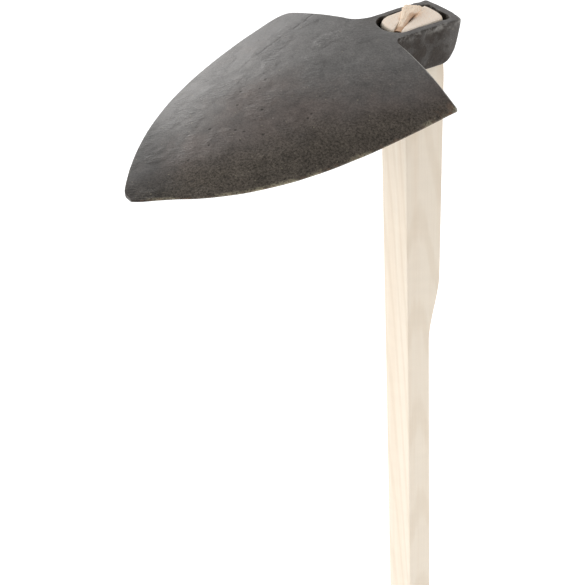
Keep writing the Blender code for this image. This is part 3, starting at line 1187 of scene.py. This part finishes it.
    def _shape(self, bm: BMesh) -> None:
        """Gives every vertex its place in the head's frame.

        Args:
            bm: the mesh, laid out in plan.
        """
        layers = bm.verts.layers.float
        for vert in bm.verts:
            across, row, level = self._keys(bm, vert)
            side = self._boundary(across, row)
            if side != "none":
                vert.co = self._wall_point(across, row, level)
            elif level == 0.0:
                vert.co = self.top_point(vert.co.x, vert.co.y)
            else:
                vert.co = self.foot_point(vert.co.x, vert.co.y, across, row)
            past_neck = row > self.starts[Band.CORNER]
            half = self.side_point(self._shoulder(across), row).x
            vert[layers["edge_gap"]] = (1.0 - abs(across)) * half if past_neck else self.plain_gap
            vert[layers["wear"]] = self._wear_at(side, across, row, level)
            vert[layers["soot_and_shade"]] = self._soot_and_shade_at(side, row, level)

    def _wear_at(self, side: str, across: float, row: float, level: float) -> float:
        """How bare a place's metal is rubbed: most on the near shoulder's ridge.

        Args:
            side: the boundary it is on.
            across: its place across.
            row: its row.
            level: its level.

        Returns:
            The wear, from 0 to 1.
        """
        if side == "none" or level > self.round_levels or row >= self.starts[Band.BLADE]:
            return 0.0
        if side == "hole" or row < self.starts[Band.NECK]:
            return self.rim_wear
        ridge = 1.0 if across > 0.0 else self.far_wear
        start = self.starts[Band.SHOULDER]
        return blend(self.rim_wear, ridge, smooth_step(row, start - 2, start + 2))

    def _soot_and_shade_at(self, side: str, row: float, level: float) -> float:
        """How dark a place is: painted shade in the hole, then soot on the eye's walls and the underside.

        Args:
            side: the boundary it is on.
            row: its row.
            level: its level.

        Returns:
            The soot, which is 1 on a plain wall; the hole's painted shade is more.
        """
        # The hole's inside gets painted shade.
        if side == "hole" and level > 0.0:
            return self.hole_shade
        if level == 0.0 or (side != "none" and level < self.levels and row > self.starts[Band.SHOULDER]):
            return 0.0
        return blend(self.back_soot, 1.0, smooth_step(row, 2.0, 14.0)) if side == "rim" else 1.0

    def _wall_point(self, across: float, row: float, level: float) -> Vector:
        """A point of a wall, whose upper and lower edges are quarter rounds.

        Args:
            across: the place across, from -1 to 1.
            row: the row.
            level: the level.

        Returns:
            The point.
        """
        top_plan, top_out, top_round = self._edge_places(across, row, Face.TOP)
        foot_plan, foot_out, foot_round = self._edge_places(across, row, Face.FOOT)
        top = self.top_point(*top_plan)
        foot = self.foot_point(*foot_plan, across, row)
        up = Vector((0.0, 0.0, 1.0))
        quarter = 0.5 * math.pi / self.round_levels
        if level <= self.round_levels:
            turn = quarter * level
            inward = top_out.to_3d() * top_round * (1.0 - math.sin(turn))
            return top - inward - up * top_round * (1.0 - math.cos(turn))
        if level >= self.levels - self.round_levels:
            turn = quarter * (self.levels - level)
            inward = foot_out.to_3d() * foot_round * (1.0 - math.sin(turn))
            return foot - inward + up * foot_round * (1.0 - math.cos(turn))
        share = (level - self.round_levels) / (self.levels - 2.0 * self.round_levels)
        return (top - up * top_round).lerp(foot + up * foot_round, share)

    def _hammer(self, bm: BMesh) -> None:
        """Dents from the hammer: broad ones on the plate, deeper and closer ones on the eye's walls.

        Args:
            bm: the shaped mesh.
        """
        bm.normal_update()
        moves = []
        for vert in bm.verts:
            _, row, _ = self._keys(bm, vert)
            on_plate = smooth_step(row, self.starts[Band.EYE] + self.plate_start, self.starts[Band.SHOULDER])
            flat = Vector((vert.co.x, vert.co.y, 0.0))
            plate = ripple(flat, self.plate_lumps[0], Seed.PLATE)
            plate += 0.55 * ripple(flat, self.plate_lumps[1], Seed.PLATE_FINE)
            wall = ripple(vert.co, self.wall_lumps[0], Seed.WALL)
            wall += 0.4 * ripple(vert.co, self.wall_lumps[1], Seed.WALL_FINE)
            fluted = Vector((vert.co.x, vert.co.y, self.flute_stretch * vert.co.z))
            flutes = 0.9 * ripple(fluted, self.flute_size, Seed.FLUTE)
            wall += flutes * smooth_step(vert.co.y, *self.flute_start)
            upright = 1.0 - abs(vert.normal.z)
            bare = vert.normal * self.wall_dent * wall * (0.25 + 0.75 * upright)
            moves.append((vert, bare.lerp(Vector((0.0, 0.0, self.dent * plate)), on_plate)))
        for vert, move in moves:
            vert.co += move


@dataclass
class Handle:
    """The birch handle: flat-sided, straight in front and swelled behind where it meets the head."""

    finishes: list[Material]
    low: Vector
    high: Vector
    width_butt: float = 0.0285
    width_top: float = 0.0314
    width_eye: float = 0.0292
    shave: tuple = (1.150, 1.167)
    swell_depth_low: float = 0.0110
    swell: tuple = (0.909, 0.973)
    long_round: float = 0.0010
    butt_round: float = 0.0012
    top_inset: float = 0.0022
    top_drop: float = 0.0034
    front_flare: float = 0.0046  # how far the split wood springs forward inside the eye
    far_flare: float = 0.0010
    back_flare: float = 0.0022
    flare: tuple = (0.022, 0.003)  # depths below the top between which it springs out
    top_steps: int = 5
    far_front_drop: float = 0.0012
    top_corner: float = 0.0040  # radius of the shaved corners inside the eye
    top_corner_zone: tuple = (0.030, 0.006)  # depths below the top between which they grow
    butt_softening: float = 0.0006  # how much rounder the long edges are at the butt
    shaft_step: float = 0.1
    below_shave: tuple = (1.05, 1.10)
    above_shave: float = 1.18
    around: int = 12
    end_zone: float = 0.0012  # height of the end grain above the butt's foot
    end_slope: float = 0.55  # how level a face of the end grain is
    roughness: float = 0.00030
    saw_marks: tuple = (0.004, 0.0018)
    blot: float = 0.008
    blot_depth: float = 0.01
    cut_tolerance: float = 1e-7
    top_tolerance: float = 1e-6

    def build(self, kerf: Object) -> Object:
        """Makes the handle and cuts the kerf.

        Args:
            kerf: the hidden cutter.

        Returns:
            The handle.
        """
        bm = bmesh.new()
        bm.verts.layers.float.new("stain")
        bmesh.ops.create_cube(bm, size=2.0)
        level = [edge for edge in bm.edges if abs(edge.verts[0].co.z - edge.verts[1].co.z) < 0.5]
        bmesh.ops.subdivide_edges(bm, edges=level, cuts=self.around - 1, use_grid_fill=True)
        for vert in bm.verts:
            vert.co.z = 0.5 * self.high.z * (vert.co.z + 1.0)
        for station in self._stations():
            cut = [*bm.verts, *bm.edges, *bm.faces]
            bmesh.ops.bisect_plane(
                bm, geom=cut, dist=self.cut_tolerance, plane_co=(0, 0, station), plane_no=(0, 0, 1)
            )
        for vert in bm.verts:
            self._place(vert)
        bmesh.ops.recalc_face_normals(bm, faces=bm.faces)
        self._mark_ends(bm)
        handle = finished_object("birch_handle", bm, self.finishes, "handle")
        boolean = handle.modifiers.new("kerf", "BOOLEAN")
        boolean.operation = "DIFFERENCE"
        boolean.solver = "EXACT"
        boolean.object = kerf
        handle.data.set_sharp_from_angle(angle=math.radians(60))
        return handle

    def _stations(self) -> list[float]:
        """Heights at which the block is cut across."""
        length = self.high.z
        shaft = [self.shaft_step * step for step in range(1, 9)]
        curve = [blend(*self.swell, step / 16) for step in range(17)]
        neck = [blend(*self.shave, step / 6) for step in range(7)]
        foot = [self.butt_round * (1.0 - math.cos(0.5 * math.pi * step / 3)) for step in range(1, 4)]
        deepest = self.top_drop + self.far_front_drop
        crown = [length - deepest * step / (2 * self.top_steps) for step in range(1, 2 * self.top_steps + 1)]
        return [*foot, *shaft, *curve, *self.below_shave, *neck, self.above_shave, *crown]

    def _place(self, vert: BMVert) -> None:
        """Moves a vertex of the square block onto the handle.

        Args:
            vert: the vertex, whose X and Y run from -1 to 1.
        """
        z = vert.co.z
        u, v = (math.sin(0.5 * math.pi * value) for value in (vert.co.x, vert.co.y))
        width = blend(self.width_butt, self.width_top, z / self.high.z)
        width += (self.width_eye - self.width_top) * smooth_step(z, *self.shave)
        above = max(0.0, (z - self.swell[1]) / (self.high.z - self.swell[1]))
        full = self.high.y + self.low.y
        behind = smooth_step(z, *self.swell) * self.swell_depth_low + (full - self.swell_depth_low) * above
        depth = -2.0 * self.low.y + behind
        radius = self.long_round + self.butt_softening * (1.0 - z / self.high.z)
        corner_low, corner_high = (self.high.z - depth_below for depth_below in self.top_corner_zone)
        radius += self.top_corner * smooth_step(z, corner_low, corner_high)
        foot_gap = max(0.0, self.butt_round - z)
        if foot_gap > 0.0:
            inset = self.butt_round - math.sqrt(max(0.0, self.butt_round**2 - foot_gap**2))
            width -= 2.0 * inset
            depth -= 2.0 * inset
        drop = self.top_drop + self.far_front_drop * smooth_step(-u, -0.2, 1.0) * smooth_step(-v, -0.4, 1.0)
        top_gap = max(0.0, z - (self.high.z - drop))
        inset = self.top_inset * (1.0 - math.sqrt(max(0.0, 1.0 - (top_gap / drop) ** 2)))
        radius += 1.2 * inset
        x, y = self._rounded(0.5 * width * u, 0.5 * depth * v, 0.5 * width, 0.5 * depth, radius)
        shrink = Vector((1.0 - 2.0 * inset / width, 1.0 - 2.0 * inset / depth))
        middle = 0.5 * behind
        sprung = smooth_step(z, self.high.z - self.flare[0], self.high.z - self.flare[1])
        x *= 1.0 + sprung * self.far_flare / width * smooth_step(-u, 0.0, 1.0)
        rounded = 1.0 - abs(2.0 * x / width) ** 2.5
        y -= sprung * self.front_flare * max(0.0, rounded) * smooth_step(-v, 0.0, 1.0)
        y += sprung * self.back_flare * max(0.0, rounded) * smooth_step(v, 0.0, 1.0)
        vert.co = (x * shrink.x, middle + y * shrink.y, z)
        if z > self.high.z - self.top_tolerance:
            flat = Vector((vert.co.x, vert.co.y, 0.0))
            sawn = ripple(flat, self.saw_marks[0], Seed.SAWN)
            sawn += ripple(flat, self.saw_marks[1], Seed.SAWN_FINE)
            vert.co.z += self.roughness * sawn - self.roughness

    def _rounded(
        self, x: float, y: float, half_x: float, half_y: float, radius: float
    ) -> tuple[float, float]:
        """Rounds the corners of a section.

        Args:
            x: the point's X from the section's middle.
            y: its Y.
            half_x: half the section's width.
            half_y: half its depth.
            radius: the corners' radius.

        Returns:
            The moved point.
        """
        side = math.copysign(1.0, y)
        x, along, _ = round_corner(x, abs(y), half_x, half_y, radius)
        return x, side * along

    def _mark_ends(self, bm: BMesh) -> None:
        """Gives both cut ends the end-grain finish, and stains the top round the wedge.

        Args:
            bm: the shaped mesh.
        """
        stain = bm.verts.layers.float["stain"]
        for face in bm.faces:
            middle = face.calc_center_median()
            level = abs(face.normal.z) > self.end_slope
            if level and (middle.z < self.end_zone or middle.z > self.high.z - self.top_drop):
                face.material_index = 1
        for vert in bm.verts:
            near = Vector((vert.co.x, vert.co.y - self.low.y - self.high.y, 0.0))
            blots = 0.35 * max(0.0, ripple(near, self.blot, Seed.STAIN))
            vert[stain] = blots if vert.co.z > self.high.z - self.blot_depth else 0.0


@dataclass
class Wedge:
    """The wedge, driven across the handle's top, whose head is torn and spread by the hammer."""

    eye: Vector
    finishes: list[Material]
    turn: float = math.radians(32.0)
    start: tuple = (0.0088, -0.0197)
    length: float = 0.0350
    buried: tuple = (0.0034, 0.0318)  # its two ends along the kerf, below the handle's top
    depth: float = 0.0340
    thick_front: float = 0.0055
    thick_back: float = 0.0095
    thick_foot: float = 0.0022
    proud: tuple = (-0.0010, 0.0036)
    kerf_depth: float = 0.0380
    kerf_overrun: float = 0.0150
    gap: float = 0.0003
    spread: float = 0.0027
    spread_heights: tuple = (-0.0002, 0.0022)
    spread_span: tuple = (0.35, 0.90)
    buried_zone: tuple = (0.02, 0.10)
    rise_span: tuple = (0.05, 0.75)
    torn: float = 0.0009
    fibre_size: float = 0.0011
    tuft_size: float = 0.0045
    dome: float = 0.0012
    stain_depth: float = 0.008
    cuts: int = 13

    def _thickness(self, along: float, z: float) -> float:
        """The wedge's thickness at a distance from its front end and a height from the handle's top."""
        widening = (self.thick_back - self.thick_front) * along / self.length
        return self.thick_front + widening + (self.thick_front - self.thick_foot) * z / self.depth

    def _place(self) -> Matrix:
        """Where the wedge's front end stands, turned along the kerf."""
        at = Matrix.Translation((self.eye.x + self.start[0], self.eye.y + self.start[1], self.eye.z))
        return at @ Matrix.Rotation(self.turn, 4, "Z")

    def kerf(self) -> Object:
        """The hidden cutter that makes the wedge's slot in the handle."""
        bm = bmesh.new()
        bmesh.ops.create_cube(bm, size=1.0)
        for vert in bm.verts:
            along = self.length + self.kerf_overrun if vert.co.y > 0.0 else -self.kerf_overrun
            z = self.kerf_overrun if vert.co.z > 0.0 else -self.kerf_depth
            half = 0.5 * self._thickness(along, z) + self.gap
            vert.co = (math.copysign(half, vert.co.x), along, z)
        bmesh.ops.transform(bm, matrix=self._place(), verts=bm.verts)
        mesh = bpy.data.meshes.new("kerf")
        bm.to_mesh(mesh)
        bm.free()
        cutter = bpy.data.objects.new("kerf", mesh)
        bpy.context.scene.collection.objects.link(cutter)
        cutter.hide_render = True
        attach(cutter, BODY)
        return cutter

    def build(self) -> Object:
        """Makes the wedge."""
        bm = bmesh.new()
        stain = bm.verts.layers.float.new("stain")
        bmesh.ops.create_cube(bm, size=2.0)
        bmesh.ops.subdivide_edges(bm, edges=bm.edges, cuts=self.cuts, use_grid_fill=True)
        for vert in bm.verts:
            across, share, up = vert.co.x, 0.5 * (vert.co.y + 1.0), 0.5 * (vert.co.z + 1.0)
            deep = smooth_step(1.0 - up, *self.buried_zone)
            along = blend(self.length * share, blend(*self.buried, share), deep)
            z = blend(-self.depth, self._top(across, along, share), up**0.5)
            half = 0.5 * self._thickness(along, min(z, 0.0))
            half += self.spread * smooth_step(z, *self.spread_heights) * smooth_step(share, *self.spread_span)
            vert.co = (across * half, along, z)
            vert[stain] = self._stain_and_crack_shade_at(across, share) * smooth_step(z, -self.stain_depth, 0.0)
        bmesh.ops.transform(bm, matrix=self._place(), verts=bm.verts)
        bmesh.ops.recalc_face_normals(bm, faces=bm.faces)
        wedge = finished_object("torn_wedge", bm, self.finishes, "wedge")
        wedge.data.set_sharp_from_angle(angle=math.radians(50))
        return wedge

    def _top(self, across: float, along: float, share: float) -> float:
        """The height of the torn head from the handle's top.

        Args:
            across: the place across the wedge, from -1 to 1.
            along: the distance from its front end.
            share: that distance as a share of its length.

        Returns:
            The height.
        """
        fibre = Vector((0.35 * along, across * 0.006, 0.0))
        tuft = Vector((along, across * 0.004, 0.0))
        tear = ripple(fibre, self.fibre_size, Seed.FIBRE) + 0.8 * ripple(tuft, self.tuft_size, Seed.TUFT)
        whole = blend(*self.proud, smooth_step(share, *self.rise_span))
        return whole + (self.torn * tear * smooth_step(share, 0.0, 0.3) - self.dome * across**4)

    def _stain_and_crack_shade_at(self, across: float, share: float) -> float:
        """How stained the head is: at its front end, and beside the crack along its middle, with painted
        shade in the crack along one side.

        Args:
            across: the place across the wedge, from -1 to 1.
            share: the place along it, from 0 at its front end to 1.

        Returns:
            The stain, where more than 1 is painted shade in the crack.
        """
        by_crack = smooth_step(share, 0.12, 0.25) * smooth_step(share, 0.80, 0.62)
        streak_and_crack_shade = 0.55 * smooth_step(across, -0.1, 0.5) * by_crack
        # Painted shade in the crack along the wedge's side, where the sum passes 1.
        streak_and_crack_shade += 0.9 * smooth_step(across, 0.8, 1.0) * by_crack
        return max(smooth_step(share, 0.26, 0.10), streak_and_crack_shade)


@dataclass(frozen=True)
class Lamp:
    """A square soft lamp that faces the head."""

    name: str
    place: tuple
    size: float
    power: float


@dataclass
class Studio:
    """A plain white floor, a soft sky that is bright at the horizon, soft lamps and the camera."""

    eye: Vector
    floor_half: float = 14.0
    camera_place: tuple = (1.0525, -0.8161, 1.8818)
    camera_turn: tuple = (55.221, 2.35, 54.557)
    lens: float = 123.077
    sensor: float = 36.0
    lamps: tuple = (
        Lamp("key", (-1.6, -2.9, 1.9), 1.8, 37.0),
        Lamp("rim", (-3.0, 0.45, 2.0), 1.4, 12.0),
    )
    paper: float = 0.88
    paper_roughness: float = 0.9
    sky: tuple = (
        (0.0, 1.00),
        (0.03, 1.00),
        (0.12, 0.80),
        (0.26, 0.80),
        (0.39, 0.54),
        (0.54, 0.86),
        (0.68, 0.96),
        (0.85, 0.58),
        (1.0, 0.34),
    )
    floor_glow: float = 0.56

    def build(self) -> None:
        """Makes the studio."""
        bpy.context.scene.view_settings.view_transform = "Standard"
        self._floor()
        self._sky()
        for lamp in self.lamps:
            self._hang(lamp)
        self._camera()

    def _floor(self) -> None:
        """The floor, at the foot of the handle."""
        bm = bmesh.new()
        bmesh.ops.create_grid(bm, x_segments=1, y_segments=1, size=self.floor_half)
        mesh = bpy.data.meshes.new("floor")
        bm.to_mesh(mesh)
        bm.free()
        floor = bpy.data.objects.new("floor", mesh)
        bpy.context.scene.collection.objects.link(floor)
        paper = bpy.data.materials.new("paper")
        paper.use_nodes = True
        shader = paper.node_tree.nodes["Principled BSDF"]
        shader.inputs["Base Color"].default_value = (self.paper, self.paper, self.paper, 1.0)
        shader.inputs["Roughness"].default_value = self.paper_roughness
        shader.inputs["Emission Color"].default_value = (1.0, 1.0, 1.0, 1.0)
        shader.inputs["Emission Strength"].default_value = self.floor_glow
        mesh.materials.append(paper)

    def _sky(self) -> None:
        """The sky's brightness by height."""
        world = bpy.data.worlds.new("studio")
        bpy.context.scene.world = world
        world.use_nodes = True
        board = Board(world.node_tree)
        direction = board.node("ShaderNodeTexCoord").outputs["Generated"]
        up = board.node("ShaderNodeSeparateXYZ", None, {0: direction}).outputs[2]
        stops = [(place, (light, light, light)) for place, light in self.sky]
        ramp = board.node("ShaderNodeValToRGB", {"stops": stops}, {0: up})
        background = world.node_tree.nodes["Background"]
        board.plug(background.inputs["Color"], ramp.outputs[0])

    def _hang(self, lamp: Lamp) -> None:
        """Hangs a lamp and turns it to the head.

        Args:
            lamp: the lamp's sizes.
        """
        light = bpy.data.lights.new(lamp.name, "AREA")
        light.size = lamp.size
        light.energy = lamp.power
        hung = bpy.data.objects.new(lamp.name, light)
        bpy.context.scene.collection.objects.link(hung)
        hung.location = lamp.place
        hung.rotation_euler = (self.eye - Vector(lamp.place)).to_track_quat("-Z", "Y").to_euler()

    def _camera(self) -> None:
        """The camera, above the head and to one side of it."""
        lens = bpy.data.cameras.new("camera")
        lens.lens = self.lens
        lens.sensor_width = self.sensor
        camera = bpy.data.objects.new("camera", lens)
        bpy.context.scene.collection.objects.link(camera)
        camera.location = self.camera_place
        camera.rotation_euler = [math.radians(angle) for angle in self.camera_turn]
        bpy.context.scene.camera = camera


def main() -> None:
    """Builds the pieces in order."""
    logging.basicConfig(level=logging.INFO)
    _, head_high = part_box("hoe_head")
    handle_low, handle_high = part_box("handle")
    eye = Vector((0.0, head_high.y - EYE_BACK_OUT, handle_high.z))

    steel = ForgedSteel(eye).build()
    birch = Birch().build()
    birch_end = EndGrain().build()
    split_light, split_deep = (0.99, 0.84, 0.68, 1.0), (0.92, 0.67, 0.47, 1.0)
    split = EndGrain(Slot.WEDGE, split_light, split_deep, stain_share=0.68).build()

    HoeHead(Matrix.Translation(eye) @ Matrix.Rotation(HEAD_PITCH, 4, "X"), steel).build()
    wedge = Wedge(eye, [split])
    Handle([birch, birch_end], handle_low, handle_high).build(wedge.kerf())
    wedge.build()
    Studio(eye).build()


if __name__ == "__main__":
    main()
